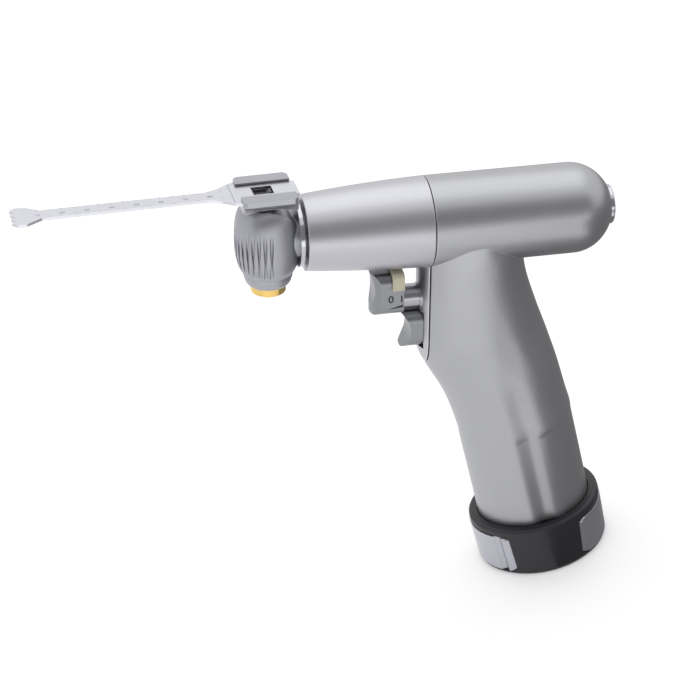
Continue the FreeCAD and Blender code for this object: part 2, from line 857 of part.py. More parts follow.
def blade_clamp():
    """Clamp with two rails over the blade's hub, hollowed at one side for the thumb."""
    half = clamp_half_width
    block = box(clamp_front_x, clamp_rear_x, -half, half, clamp_bottom_z, rail_top_z)
    corner = 1.6
    upright = [e for e in block.Edges if abs(e.tangentAt(e.FirstParameter).z) > 0.9]
    block = block.makeChamfer(corner, upright)
    block = block.cut(scallop(0.0))
    slot = box(clamp_front_x - 1, clamp_rear_x + 1, -blade_hub_half - rail_clearance,
               blade_hub_half + rail_clearance, blade_bottom_z, blade_top_z + rail_clearance)
    block = block.cut(slot.cut(scallop(scallop_wall)))
    block = block.cut(box(pawl_tail_x - 0.8, pawl_tip_x + 1.0, -window_half, window_half,
                          pawl_room_z, blade_bottom_z + 1))
    block = block.cut(box(clamp_front_x - 1, clamp_rear_x + 1, -rail_gap_half, rail_gap_half,
                          blade_bottom_z, rail_top_z + 1))
    block = block.cut(box(pawl_tail_x - 0.8, pawl_tip_x + 1.0, -pawl_half_width - slide_gap,
                          pawl_half_width + slide_gap, clamp_bottom_z - 1, blade_bottom_z + 1))
    return swung(block.cut(rod_y(pawl_pivot_x, pawl_pivot_z, pawl_pin_r, pawl_pin_half)))


def latch_pawl():
    """Small lever whose ramped tooth stands in the blade's window."""
    tip = pawl_tip_x
    outline = [V(pawl_tail_x, 0, pawl_bottom_z), V(pawl_pivot_x - 0.9, 0, pawl_bottom_z),
               V(pawl_pivot_x + 1.0, 0, pawl_pivot_z), V(tip, 0, pawl_pivot_z + 0.4),
               V(tip, 0, blade_top_z - 0.3), V(tip - 0.5, 0, blade_top_z - 0.3),
               V(tip - 2.2, 0, blade_bottom_z - 0.4), V(pawl_tail_x, 0, blade_bottom_z - 0.4)]
    lever = face_of(polygon(outline)).extrude(V(0, 2 * pawl_half_width, 0))
    lever.translate(V(0, -pawl_half_width, 0))
    lever = lever.cut(rod_y(pawl_pivot_x, pawl_pivot_z, pawl_pin_r + run_fit, pawl_pin_half))
    return swung(lever)


def pawl_pin():
    """Hinge pin of the latch."""
    return swung(rod_y(pawl_pivot_x, pawl_pivot_z, pawl_pin_r, pawl_pin_half))


def saw_blade():
    """Blade with a broad hub, a long neck and a toothed tip."""
    hub = blade_hub_half
    neck = blade_neck_half
    tip = blade_tip_half
    root_x = blade_tip_x + tooth_height
    right = [V(root_x, tip, 0), V(root_x + 3.6, tip, 0), V(root_x + 10.0, neck, 0),
             V(clamp_front_x - 13.0, neck, 0), V(clamp_front_x - 7.6, neck + 2.2, 0),
             V(clamp_front_x - 2.6, hub - 1.2, 0), V(clamp_front_x, hub, 0),
             V(clamp_rear_x - 3.0, hub, 0), V(blade_rear_x, hub - 5.0, 0)]
    left = [V(p.x, -p.y, 0) for p in reversed(right)]
    pitch = 2 * tip / tooth_count
    teeth = []
    for i in range(tooth_count):
        y = -tip + pitch * i
        teeth.append(V(blade_tip_x, y + 0.5 * pitch, 0))
        if i < tooth_count - 1:
            teeth.append(V(root_x, y + pitch, 0))
    outline = right + left + teeth
    blade = face_of(polygon(outline)).extrude(V(0, 0, blade_thickness))
    blade = blade.cut(box(window_front_x, window_rear_x, -window_half, window_half, -1, 3))
    blade.translate(V(0, 0, blade_bottom_z))
    blade = blade.cut(scallop(scallop_wall + rail_clearance))
    return swung(blade)


def profile_xz(outline, half):
    """Extrude an XZ outline sideways about the middle plane."""
    solid = face_of(polygon([V(x, 0, z) for x, z in outline])).extrude(V(0, 2 * half, 0))
    solid.translate(V(0, -half, 0))
    return solid


def trigger_knob():
    """Upper trigger: a tall block, dished in front for the fingertip and rounded all round."""
    half = knob_half_width
    knob = box(knob_front_x, knob_rear_x, -half, half, knob_bottom_z, knob_top_z)
    knob = rounded(knob, 4.2, lambda e: abs(e.tangentAt(e.FirstParameter).x) > 0.9)
    plan = rod_z(knob_bottom_z - 1, knob_top_z + 1, knob_plan_r, knob_front_x + knob_plan_r, 0)
    knob = knob.common(plan.fuse(box(knob_front_x + knob_plan_r, knob_rear_x + 9, -20, 20,
                                     knob_bottom_z - 1, knob_top_z + 1)))
    dish_z = knob_bottom_z + 11.0
    dish = rod_y(knob_front_x - knob_dish_r + knob_dish, dish_z, knob_dish_r, 20)
    return knob.cut(dish).Solids[0]


def trigger_stem():
    """Polished stem of the upper trigger."""
    return rod_x(knob_rear_x, stem_end_x, stem_r, trigger_z)


def safety_slider():
    """Saddle over the top of the knob that blocks it when slid forward."""
    half = knob_half_width + slide_gap
    x0 = safety_front_x
    x1 = x0 + safety_width
    top = knob_top_z + slide_gap + safety_wall
    saddle = box(x0, x1, -half - safety_wall, half + safety_wall, safety_leg_z, top)
    saddle = rounded(saddle, 2.6, lambda e: abs(e.tangentAt(e.FirstParameter).x) > 0.9
                     and e.CenterOfMass.z > top - 0.1)
    inside = box(x0 - 1, x1 + 1, -half, half, knob_bottom_z - 5, knob_top_z + slide_gap)
    inside = rounded(inside, 3.6, lambda e: abs(e.tangentAt(e.FirstParameter).x) > 0.9)
    return saddle.cut(inside).Solids[0]


def trigger_bush():
    """Guide bush of the stem, with a collar at the front of the cover."""
    return tube_x(strip_front_x - 0.4, parting_x + 4.0, bush_r, stem_r + run_fit, trigger_z)


def trigger_spring():
    """Return spring behind the upper trigger's stem."""
    spring = folded_spring(stem_end_x, trigger_wall_x, bush_r - 0.5, bush_r - 2.2, 3)
    spring.translate(V(0, 0, trigger_z))
    return spring


def lower_trigger():
    """Lower trigger, hollowed in front for the middle finger."""
    half = lower_half_width
    top = lower_top_z
    low = lower_bottom_z
    block = box(lower_front_x, lower_rear_x, -half, half, low, top)
    block = rounded(block, lower_corner_r, lambda e: abs(e.tangentAt(e.FirstParameter).x) > 0.9)
    dish = rod_y(lower_front_x - lower_dish_r + lower_dish, lower_stem_z, lower_dish_r, 20)
    return block.cut(dish).Solids[0]


def lower_stem():
    """Guide pin of the lower trigger."""
    return rod_x(lower_rear_x, lower_stem_end_x, lower_stem_r, lower_stem_z)


def lower_spring():
    """Return spring round the guide pin of the lower trigger."""
    spring = folded_spring(lower_rear_x, lower_wall_x, lower_stem_r + 2.2, lower_stem_r + 0.5, 2)
    spring.translate(V(0, 0, lower_stem_z))
    return spring


def controller_board():
    """Motor controller above the battery bay."""
    return grip_box(-10.7, 10.7, -12.7, 12.7, bay_top_s - 11, bay_top_s - 9.4)


def contact_block():
    """Plastic block that carries the battery contacts."""
    return grip_box(-10.7, 10.7, -12.7, 12.7, bay_top_s - 6, bay_top_s - 1)


def contact_pins():
    """Three sprung contact pins."""
    pins = []
    for v in (-7.0, 0.0, 7.0):
        pins.append(grip_rod(0, v, bay_top_s - 1, bay_top_s + 1.6, 1.2))
    return pins


def cell_places():
    """Three cells in a triangle, one to the front."""
    ring = cell_r * 2.06 / math.sqrt(3.0)
    return [(ring * math.cos(math.radians(a)), ring * math.sin(math.radians(a)))
            for a in (180, 60, -60)]


def battery_case():
    """Case of the battery pack with its three cell bores."""
    case = egg_prism(-grip_wall - battery_gap, bay_top_s + 2.4, lid_floor_s - battery_end_gap)
    for u, v in cell_places():
        case = case.cut(grip_rod(u, v, cell_top_s(), cell_top_s() + cell_length, cell_r))
    return case


def cell_top_s():
    """Where the cells start under the pack's top wall."""
    return bay_top_s + 2.4 + 4.0


def battery_cells():
    """Three lithium cells."""
    return [grip_rod(u, v, cell_top_s(), cell_top_s() + cell_length, cell_r)
            for u, v in cell_places()]


def battery_contacts():
    """Three contact pads on top of the pack."""
    s = bay_top_s + 2.4
    return [grip_box(-2.2, 2.2, v - 1.8, v + 1.8, s - 0.5, s) for v in (-7.0, 0.0, 7.0)]


def lid_seal():
    """Soft ring between the end of the grip and the lid."""
    outer = egg_prism(-0.3, grip_end_s + 0.2, lid_floor_s)
    return outer.cut(egg_prism(-grip_wall + 0.2, grip_end_s - 1, lid_floor_s + 1))


def latch_pad(side):
    """Elastic pad that fills the room behind a latch and pushes it back out."""
    back = latch_thickness - latch_proud
    return latch_shell(-back, latch_thickness + latch_travel, -latch_pad_inset, side).Solids[0]


NODES = {}


def add(name, shapes):
    """Keep a sub-part: one solid, or a group of like solids."""
    NODES[name] = Part.makeCompound(shapes) if isinstance(shapes, list) else shapes


def stand():
    """Matrix that stands the model upright on the lid's foot."""
    move = FreeCAD.Placement(-on_grip(0, 0, foot_s), FreeCAD.Rotation())
    turn = FreeCAD.Placement(V(0, 0, 0), FreeCAD.Rotation(Y_AXIS, grip_lean))
    return turn.multiply(move).toMatrix()


def main():
    outer = outer_body()
    add("main_housing", main_housing(outer))
    add("front_cover", front_cover(outer))
    add("parting_seal", parting_seal())
    add("rear_cap", rear_cap())
    add("swivel_bush", swivel_bush())
    add("motor_can", motor_can())
    add("motor_front_plate", motor_plate(motor_front_x - flange_thickness))
    add("motor_rear_plate", motor_plate(motor_rear_x))
    add("motor_screws", motor_screws())
    add("controller_board", controller_board())
    add("contact_block", contact_block())
    add("contact_pins", contact_pins())
    add("trigger_bush", trigger_bush())
    add("rotor", rotor())
    add("motor_shaft", motor_shaft())
    add("shaft_coupling", coupling())
    add("drive_shaft", drive_shaft())
    add("eccentric", eccentric())
    add("eccentric_roller", roller())
    add("head_housing", head_housing())
    add("head_bottom_ring", head_bottom_ring())
    add("swivel_ring", swivel_ring())
    add("spigot_nut", spigot_nut())
    add("drive_bearings", drive_bearings())
    add("upper_bearing", upper_bearing())
    add("lower_bearing", lower_bearing())
    add("spindle_seal", spindle_seal())
    add("output_spindle", output_spindle())
    add("fork", fork())
    add("blade_clamp", blade_clamp())
    add("saw_blade", saw_blade())
    add("pawl_pin", pawl_pin())
    add("latch_pawl", latch_pawl())
    add("release_button", release_button())
    add("push_rod", push_rod())
    add("button_spring", button_spring())
    add("trigger_knob", trigger_knob())
    add("trigger_stem", trigger_stem())
    add("trigger_spring", trigger_spring())
    add("safety_slider", safety_slider())
    add("lower_trigger", lower_trigger())
    add("lower_stem", lower_stem())
    add("lower_spring", lower_spring())
    add("battery_lid", battery_lid())
    add("lid_seal", lid_seal())
    add("front_latch", latch(-1))
    add("rear_latch", latch(1))
    add("front_latch_pad", latch_pad(-1))
    add("rear_latch_pad", latch_pad(1))
    add("battery_case", battery_case())
    add("battery_cells", battery_cells())
    add("battery_contacts", battery_contacts())
    matrix = stand()
    for name, shape in NODES.items():
        placed = shape.transformed(matrix, True)
        placed.exportStep("parts/" + name + ".step")


if __name__ == "__main__":
    main()
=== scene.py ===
"""Looks of a battery-powered surgical oscillating saw: an add-on that also runs as a script."""
import math

import bmesh
import bpy
from bpy.props import FloatProperty, FloatVectorProperty, PointerProperty
from mathutils import Matrix, Vector


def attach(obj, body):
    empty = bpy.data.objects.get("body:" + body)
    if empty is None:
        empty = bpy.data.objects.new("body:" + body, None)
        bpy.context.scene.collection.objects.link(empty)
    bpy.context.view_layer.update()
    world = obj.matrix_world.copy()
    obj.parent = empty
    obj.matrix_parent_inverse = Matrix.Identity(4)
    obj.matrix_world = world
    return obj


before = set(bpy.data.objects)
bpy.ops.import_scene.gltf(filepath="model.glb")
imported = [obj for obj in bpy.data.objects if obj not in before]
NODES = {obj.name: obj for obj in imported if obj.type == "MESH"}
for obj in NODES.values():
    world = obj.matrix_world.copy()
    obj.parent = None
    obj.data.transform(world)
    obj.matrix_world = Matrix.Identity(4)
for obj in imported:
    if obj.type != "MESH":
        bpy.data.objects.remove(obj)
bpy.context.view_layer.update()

bl_info = {
    "name": "Surgical Oscillating Saw",
    "version": (1, 0, 0),
    "blender": (4, 5, 0),
    "location": "View3D > Sidebar > Saw",
    "description": "Finishes and markings of a pistol-grip surgical saw on its CAD frame",
    "category": "Object",
}

# The barrel leans by this angle from the level; the blade's swing axis meets the barrel axis
# at this point of the frame, in metres.
LEAN = math.radians(13.15)
ORIGIN = Vector((-0.082966, 0.0, 0.192283))
ALONG = Vector((math.cos(LEAN), 0.0, -math.sin(LEAN)))
ACROSS = Vector((0.0, 1.0, 0.0))
UPWARD = Vector((math.sin(LEAN), 0.0, math.cos(LEAN)))

# Faces that carry markings, in millimetres from that point, and how far the marks lie above them.
BLADE_TOP = 21.2
BLADE_HALF_WIDTH = 3.4
BLADE_ANGLE = math.radians(2.0)
KNOB_HALF_WIDTH = 7.6
MARK_LIFT = 0.02

# Numerals and graduations of the blade, in millimetres along it from the swing axis.
NUMERALS = 8
FIRST_NUMERAL = -93.8
NUMERAL_STEP = 10.04
NUMERAL_OFFSET = -0.8
TICK_LENGTH = 0.9
HUB_LINE = -14.6
HUB_LINE_LENGTH = 16.4

# Marks on the trigger, in millimetres back and up.
MARK_HEIGHT = 3.3
MARK_STROKE = 0.7
MARK_LEVEL = -31.7
ZERO_PLACE = 50.9
ONE_PLACE = 55.5
RAMP = ((49.6, -36.2), (56.1, -35.7), (56.1, -34.4))

# The camera of the photograph, as fitted to the saw's edges and circles.
CAMERA_PLACE = (-0.122779, -0.87020, 0.66773)
CAMERA_FORWARD = (0.05897, 0.84815, -0.52646)
CAMERA_RIGHT = (0.95320, -0.20450, -0.22269)
CAMERA_LENS = 123.63
CAMERA_SENSOR = 36.0

# Studio, in metres: the lamps' places and sizes, what they point at, and the corners of the dim
# cards that paint dark reflections on the metal: a painted reflection of a dim studio in front,
# and painted shade of the floor under the saw.
LAMP_AIM = (0.0, 0.0, 0.12)
KEY_PLACE, KEY_SIZE = (0.05, 0.38, 1.15), (2.0, 1.2)
BOUNCE_PLACE, BOUNCE_SIZE = (-0.10, -0.50, 0.02), (1.2, 0.35)
BOUNCE_AIM = (-0.10, -0.15, 0.20)
# Dim card in front, behind the camera: a painted dark reflection on the metal's front faces.
FRONT_REFLECTION_CARD = ((-2.5, -1.4, 0.10), (2.5, -1.4, 0.10), (2.5, -1.4, 1.9), (-2.5, -1.4, 1.9))
# Dim card on the floor to the right: painted shade of the floor under the saw, seen only in the
# metal's reflections.
FLOOR_SHADE_CARD = ((0.0, -0.12), (0.13, -0.12), (0.13, -1.0), (1.5, -1.0), (1.5, 1.2), (0.0, 1.2))
FLOOR_SHADE_CARD_HEIGHT = 0.002
FLOOR_REACH = 3.0

# Shares used in the shading: how far the noise tints a metal, how sharply an edge counts as worn
# and lit, how much brighter an edge is painted for wear and for a painted highlight, and a
# capital's share of a font's size.
TINT_GAIN = 1.2
EDGE_GAIN = 6.0
EDGE_WEAR_AND_HIGHLIGHT_GAIN = 1.6
EDGE_WEAR_AND_HIGHLIGHT_LIFT = 0.06
CAPITAL_SHARE = 0.7


def at(x, y, z):
    """A point given in millimetres back along the barrel, sideways and up from the barrel axis."""
    return ORIGIN + (ALONG * x + ACROSS * y + UPWARD * z) / 1000.0


def plane(place, right, up):
    """Matrix that lays flat artwork at a point, reading along one direction and up another."""
    basis = Matrix((right, up, right.cross(up))).transposed().to_4x4()
    return Matrix.Translation(place) @ basis


def shifted(x, y):
    """Matrix that moves flat artwork by millimetres in its own plane."""
    return Matrix.Translation((x / 1000.0, y / 1000.0, 0.0))


def colour(name, description, default):
    """Colour property of a finish."""
    return FloatVectorProperty(name=name, description=description, subtype="COLOR", size=3,
                               min=0.0, max=1.0, default=default)


def length(name, description, default, least):
    """Length property, in metres."""
    return FloatProperty(name=name, description=description, subtype="DISTANCE", unit="LENGTH",
                         default=default, min=least)


def light(name, description, default, **kind):
    """Strength property of a light or of a dim card that paints dark reflections."""
    return FloatProperty(name=name, description=description, default=default, min=0.0, **kind)


class SawColours(bpy.types.PropertyGroup):
    """Colours of the finishes."""
    casing: colour("Casing", "Blasted metal of barrel and grip", (0.42, 0.423, 0.44))
    nose: colour("Nose", "Brighter blasted metal of the nose", (0.50, 0.50, 0.535))
    head: colour("Head", "Satin metal of the head and clamp", (0.40, 0.40, 0.44))
    blade: colour("Blade", "Bright blade steel", (0.64, 0.645, 0.69))
    # Latch tooth and pin darkened as painted shade of the blade's dark window.
    shaded_tooth: colour("Latch tooth", "Darker steel in the blade's window", (0.13, 0.13, 0.15))
    gold: colour("Gold", "Gold coating of the release button", (0.80, 0.56, 0.19))
    ivory: colour("Ivory", "Plastic of the safety slide", (0.58, 0.54, 0.40))
    trigger: colour("Triggers", "Metal of both triggers", (0.275, 0.28, 0.295))
    stem: colour("Stem", "Polished stem of the upper trigger", (0.38, 0.38, 0.41))
    lid: colour("Lid", "Dark plastic of the battery lid", (0.010, 0.010, 0.014))
    latch: colour("Latches", "Satin metal of the lid latches", (0.48, 0.48, 0.53))
    rubber: colour("Rubber", "Black rubber of gasket, seals and pads", (0.02, 0.02, 0.022))
    marking: colour("Markings", "Marks on the trigger, filled dark", (0.02, 0.02, 0.022))
    laser: colour("Graduations", "Grey laser marks on the blade", (0.26, 0.26, 0.36))
    floor: colour("Floor", "Pale floor under the saw", (0.90, 0.90, 0.90))


class SawSizes(bpy.types.PropertyGroup):
    """Sizes of grain, edges and markings, and strengths of the studio light."""
    grain: length("Grain", "Size of one grain or brushed line of the metal", 0.00022, 0.00002)
    edge: length("Edge break", "Radius of the broken edges in the shading", 0.00025, 0.0)
    seam: length("Seam edge", "Radius of the casing's edges in the shading", 0.0006, 0.0)
    numeral: length("Numeral height", "Height of the blade's numerals", 0.0016, 0.0005)
    tick: length("Graduation width", "Width of an engraved line", 0.00026, 0.00005)
    world: light("Sky", "Strength of the even studio light", 0.66)
    lift: light("Floor lift", "Light added to the floor as the camera and metal see it", 0.32)
    key: light("Key", "Power of the main soft box", 5.0, subtype="POWER", unit="POWER")
    bounce: light("Bounce", "Power of the card in front on the floor", 1.0, subtype="POWER",
                  unit="POWER")
    # Levels of the dim cards that paint dark reflections on the metal.
    front_card_level: light("Front flag", "Level of the dim flag behind the camera", 0.30)
    # The floor card's level sets how dark the painted floor shade looks in the metal's
    # reflections.
    card: light("Floor flag", "Level of the dim flag on the right", 0.26)


def group(name, inputs, outputs):
    """Empty shader group with its named sockets; returns the group, its input and its output."""
    tree = bpy.data.node_groups.new(name, "ShaderNodeTree")
    for label, kind, value in inputs:
        socket = tree.interface.new_socket(label, in_out="INPUT", socket_type=kind)
        socket.default_value = value
    for label, kind in outputs:
        tree.interface.new_socket(label, in_out="OUTPUT", socket_type=kind)
    return tree, tree.nodes.new("NodeGroupInput"), tree.nodes.new("NodeGroupOutput")


def math_node(tree, operation, a, b, clamp=False):
    """Math node whose inputs are numbers or sockets."""
    node = tree.nodes.new("ShaderNodeMath")
    node.operation = operation
    node.use_clamp = clamp
    for socket, value in zip(node.inputs, (a, b)):
        if isinstance(value, (int, float)):
            socket.default_value = value
        else:
            tree.links.new(value, socket)
    return node.outputs[0]


def noise(tree, coordinates, scale, detail, roughness=0.5):
    """Noise texture's value on the given coordinates."""
    node = tree.nodes.new("ShaderNodeTexNoise")
    node.inputs["Detail"].default_value = detail
    node.inputs["Roughness"].default_value = roughness
    tree.links.new(coordinates, node.inputs["Vector"])
    if isinstance(scale, (int, float)):
        node.inputs["Scale"].default_value = scale
    else:
        tree.links.new(scale, node.inputs["Scale"])
    return node.outputs["Fac"]


def metal_group(name):
    """Empty group of a metal's surface, with its texture coordinates and its noise scale."""
    tree, source, sink = group(
        name,
        [("Colour", "NodeSocketColor", (0.5, 0.5, 0.5, 1.0)), ("Grain", "NodeSocketFloat", 0.0003),
         ("Roughness", "NodeSocketFloat", 0.4), ("Variation", "NodeSocketFloat", 0.06)],
        [("Colour", "NodeSocketColor"), ("Roughness", "NodeSocketFloat"),
         ("Height", "NodeSocketFloat")])
    place = tree.nodes.new("ShaderNodeTexCoord").outputs["Object"]
    scale = math_node(tree, "DIVIDE", 1.0, source.outputs["Grain"])
    return tree, source, sink, place, scale


def metal_surface(tree, source, sink, fine, slow, share):
    """Puts out colour, roughness and height, varied by a slow noise and a share of a fine one."""
    lean_fine = math_node(tree, "MULTIPLY", math_node(tree, "SUBTRACT", fine, 0.5), share)
    shift = math_node(tree, "ADD", math_node(tree, "SUBTRACT", slow, 0.5), lean_fine)
    spread = math_node(tree, "MULTIPLY", shift, source.outputs["Variation"])
    rough = math_node(tree, "ADD", source.outputs["Roughness"], spread, True)
    gain = math_node(tree, "ADD", math_node(tree, "MULTIPLY", spread, TINT_GAIN), 1.0)
    tint = tree.nodes.new("ShaderNodeVectorMath")
    tint.operation = "SCALE"
    tree.links.new(source.outputs["Colour"], tint.inputs[0])
    tree.links.new(gain, tint.inputs["Scale"])
    tree.links.new(tint.outputs[0], sink.inputs["Colour"])
    tree.links.new(rough, sink.inputs["Roughness"])
    tree.links.new(fine, sink.inputs["Height"])
    return tree


def blasted_group():
    """Blasted metal: fine grain and slow smudges."""
    tree, source, sink, place, scale = metal_group("Blasted Metal")
    fine = noise(tree, place, scale, 2.0)
    slow = noise(tree, place, 34.0, 3.0, 0.6)
    return metal_surface(tree, source, sink, fine, slow, 0.6)


def brushed_group():
    """Brushed metal: fine lines along the barrel's direction, and slow smudges."""
    tree, source, sink, place, scale = metal_group("Brushed Metal")
    turned = tree.nodes.new("ShaderNodeMapping")
    turned.vector_type = "TEXTURE"
    turned.inputs["Rotation"].default_value = (0.0, LEAN, 0.0)
    turned.inputs["Scale"].default_value = (60.0, 1.0, 1.0)
    tree.links.new(place, turned.inputs["Vector"])
    fine = noise(tree, turned.outputs["Vector"], scale, 2.0)
    slow = noise(tree, place, 60.0, 3.0, 0.6)
    return metal_surface(tree, source, sink, fine, slow, 1.0)


def edge_group():
    """Broken edges: a rounded normal, and a mask that is bright on the edge itself; the mask
    paints edge wear and an edge highlight into the colour.
    """
    tree, source, sink = group(
        "Broken Edge", [("Radius", "NodeSocketFloat", 0.0003)],
        [("Normal", "NodeSocketVector"), ("Edge", "NodeSocketFloat")])
    bevel = tree.nodes.new("ShaderNodeBevel")
    bevel.samples = 4
    tree.links.new(source.outputs["Radius"], bevel.inputs["Radius"])
    face = tree.nodes.new("ShaderNodeNewGeometry")
    dot = tree.nodes.new("ShaderNodeVectorMath")
    dot.operation = "DOT_PRODUCT"
    tree.links.new(bevel.outputs["Normal"], dot.inputs[0])
    tree.links.new(face.outputs["Normal"], dot.inputs[1])
    away = math_node(tree, "SUBTRACT", 1.0, dot.outputs["Value"])
    tree.links.new(math_node(tree, "MULTIPLY", away, EDGE_GAIN, True), sink.inputs["Edge"])
    tree.links.new(bevel.outputs["Normal"], sink.inputs["Normal"])
    return tree


def shared(name, build):
    """The shader group of this name, built the first time."""
    return bpy.data.node_groups.get(name) or build()


def metal(name, base, roughness, variation=0.06, metallic=1.0, bump=0.05, brushed=False,
          wear_and_highlight=0.25, edge_radius=None):
    """Blasted or brushed material with broken edges, brightened there for wear and as a painted
    highlight; metallic 0 makes it a plastic or rubber.
    """
    sizes = bpy.context.scene.saw_sizes
    material = bpy.data.materials.new(name)
    material.use_nodes = True
    tree = material.node_tree
    shader = tree.nodes["Principled BSDF"]
    shader.inputs["Metallic"].default_value = metallic
    surface = tree.nodes.new("ShaderNodeGroup")
    if brushed:
        surface.node_tree = shared("Brushed Metal", brushed_group)
    else:
        surface.node_tree = shared("Blasted Metal", blasted_group)
    surface.inputs["Colour"].default_value = (*base, 1.0)
    surface.inputs["Grain"].default_value = sizes.grain
    surface.inputs["Roughness"].default_value = roughness
    surface.inputs["Variation"].default_value = variation
    edge = tree.nodes.new("ShaderNodeGroup")
    edge.node_tree = shared("Broken Edge", edge_group)
    edge.inputs["Radius"].default_value = edge_radius or sizes.edge
    # Edges lightened by the mask toward a brighter colour: partly edge wear, partly a painted
    # highlight along the edges.
    mix = tree.nodes.new("ShaderNodeMix")
    mix.data_type = "RGBA"
    tree.links.new(math_node(tree, "MULTIPLY", edge.outputs["Edge"], wear_and_highlight), mix.inputs["Factor"])
    tree.links.new(surface.outputs["Colour"], mix.inputs["A"])
    worn_and_lit = [min(1.0, part * EDGE_WEAR_AND_HIGHLIGHT_GAIN + EDGE_WEAR_AND_HIGHLIGHT_LIFT) for part in base]
    mix.inputs["B"].default_value = (*worn_and_lit, 1.0)
    relief = tree.nodes.new("ShaderNodeBump")
    relief.inputs["Strength"].default_value = bump
    relief.inputs["Distance"].default_value = 0.0001
    tree.links.new(surface.outputs["Height"], relief.inputs["Height"])
    tree.links.new(edge.outputs["Normal"], relief.inputs["Normal"])
    tree.links.new(mix.outputs["Result"], shader.inputs["Base Color"])
    tree.links.new(surface.outputs["Roughness"], shader.inputs["Roughness"])
    tree.links.new(relief.outputs["Normal"], shader.inputs["Normal"])
    return material


def dress(material, *names):
    """Gives CAD nodes this material."""
    for name in names:
        node = NODES[name]
        node.data.materials.clear()
        node.data.materials.append(material)


def lettering(text, height, weight=0.0):
    """Flat word about the origin, reading along X; weight thickens its strokes."""
    curve = bpy.data.curves.new("lettering", "FONT")
    curve.body = text
    curve.size = height / CAPITAL_SHARE
    curve.offset = height * weight
    curve.align_x, curve.align_y = "CENTER", "CENTER"
    holder = bpy.data.objects.new("lettering", curve)
    bpy.context.collection.objects.link(holder)
    graph = bpy.context.evaluated_depsgraph_get()
    mesh = bpy.data.meshes.new_from_object(holder.evaluated_get(graph))
    bpy.data.objects.remove(holder)
    return mesh


def patch(corners):
    """Flat polygon through points in the artwork's own plane."""
    mesh = bpy.data.meshes.new("patch")
    mesh.from_pydata([(x, y, 0.0) for x, y in corners], [], [tuple(range(len(corners)))])
    return mesh


def bar(width, height):
    """Upright rectangle about the origin of the artwork's plane."""
    w, h = width / 2.0, height / 2.0
    return patch([(-w, -h), (w, -h), (w, h), (-w, h)])


def marks(name, body, material, artwork):
    """One piece made of flat artwork, each with the matrix that lays it on its surface."""
    joined = bmesh.new()
    for mesh, matrix in artwork:
        mesh.transform(matrix)
        joined.from_mesh(mesh)
        bpy.data.meshes.remove(mesh)
    mesh = bpy.data.meshes.new(name)
    joined.to_mesh(mesh)
    joined.free()
    mesh.materials.append(material)
    piece = bpy.data.objects.new(name, mesh)
    bpy.context.collection.objects.link(piece)
    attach(piece, body)
    return piece


class SAW_OT_casing(bpy.types.Operator):
    """Barrel, grip, nose, gasket and rear cap"""
    bl_idname = "saw.casing"
    bl_label = "Casing"

    def execute(self, context):
        colours = context.scene.saw_colours
        seam = context.scene.saw_sizes.seam
        # Casing and nose take the full edge brightening: a painted highlight along their edges and
        # seams, besides wear.
        dress(metal("casing_metal", colours.casing, 0.38, wear_and_highlight=1.0, edge_radius=seam),
              "main_housing")
        dress(metal("nose_metal", colours.nose, 0.40, wear_and_highlight=1.0, edge_radius=seam), "front_cover")
        dress(metal("gasket_rubber", colours.rubber, 0.6, metallic=0.0, wear_and_highlight=0.0), "parting_seal")
        dress(metal("cap_metal", colours.nose, 0.16, 0.03), "rear_cap", "swivel_ring")
        return {"FINISHED"}


class SAW_OT_head(bpy.types.Operator):
    """Fluted head, its rings, clamp and release button"""
    bl_idname = "saw.head"
    bl_label = "Head"

    def execute(self, context):
        colours = context.scene.saw_colours
        dress(metal("head_metal", colours.head, 0.44), "head_housing", "head_bottom_ring")
        dress(metal("clamp_metal", colours.head, 0.30, brushed=True), "blade_clamp")
        dress(metal("gold_coating", colours.gold, 0.24, 0.03), "release_button")
        return {"FINISHED"}


class SAW_OT_blade(bpy.types.Operator):
    """Saw blade with its graduations, and the latch tooth in its window"""
    bl_idname = "saw.blade"
    bl_label = "Blade"

    def execute(self, context):
        colours = context.scene.saw_colours
        sizes = context.scene.saw_sizes
        dress(metal("blade_steel", colours.blade, 0.28, 0.05, brushed=True), "saw_blade")
        # Latch tooth and pin in a dark colour: painted shade of the blade's window.
        dress(metal("latch_painted_shade", colours.shaded_tooth, 0.3), "latch_pawl", "pawl_pin")
        along = Matrix.Rotation(BLADE_ANGLE, 3, UPWARD) @ ALONG
        face = plane(at(0.0, 0.0, BLADE_TOP + MARK_LIFT), along, UPWARD.cross(along))
        artwork = []
        for count in range(NUMERALS):
            number = lettering(str(10 * (count + 1)), sizes.numeral)
            place = shifted(FIRST_NUMERAL + NUMERAL_STEP * count, NUMERAL_OFFSET)
            artwork.append((number, face @ place))
        edge_row = BLADE_HALF_WIDTH - TICK_LENGTH / 2.0
        for count in range(2 * NUMERALS):
            x = FIRST_NUMERAL + NUMERAL_STEP * count / 2.0
            for side in (-1.0, 1.0):
                if side > 0.0 or count % 2:
                    tick = bar(sizes.tick, TICK_LENGTH / 1000.0)
                    artwork.append((tick, face @ shifted(x, side * edge_row)))
        artwork.append((bar(sizes.tick, HUB_LINE_LENGTH / 1000.0), face @ shifted(HUB_LINE, 0.0)))
        laser = metal("laser_marks", colours.laser, 0.5, 0.1, 0.0, wear_and_highlight=0.0)
        marks("blade_marks", "blade_drive", laser, artwork)
        return {"FINISHED"}


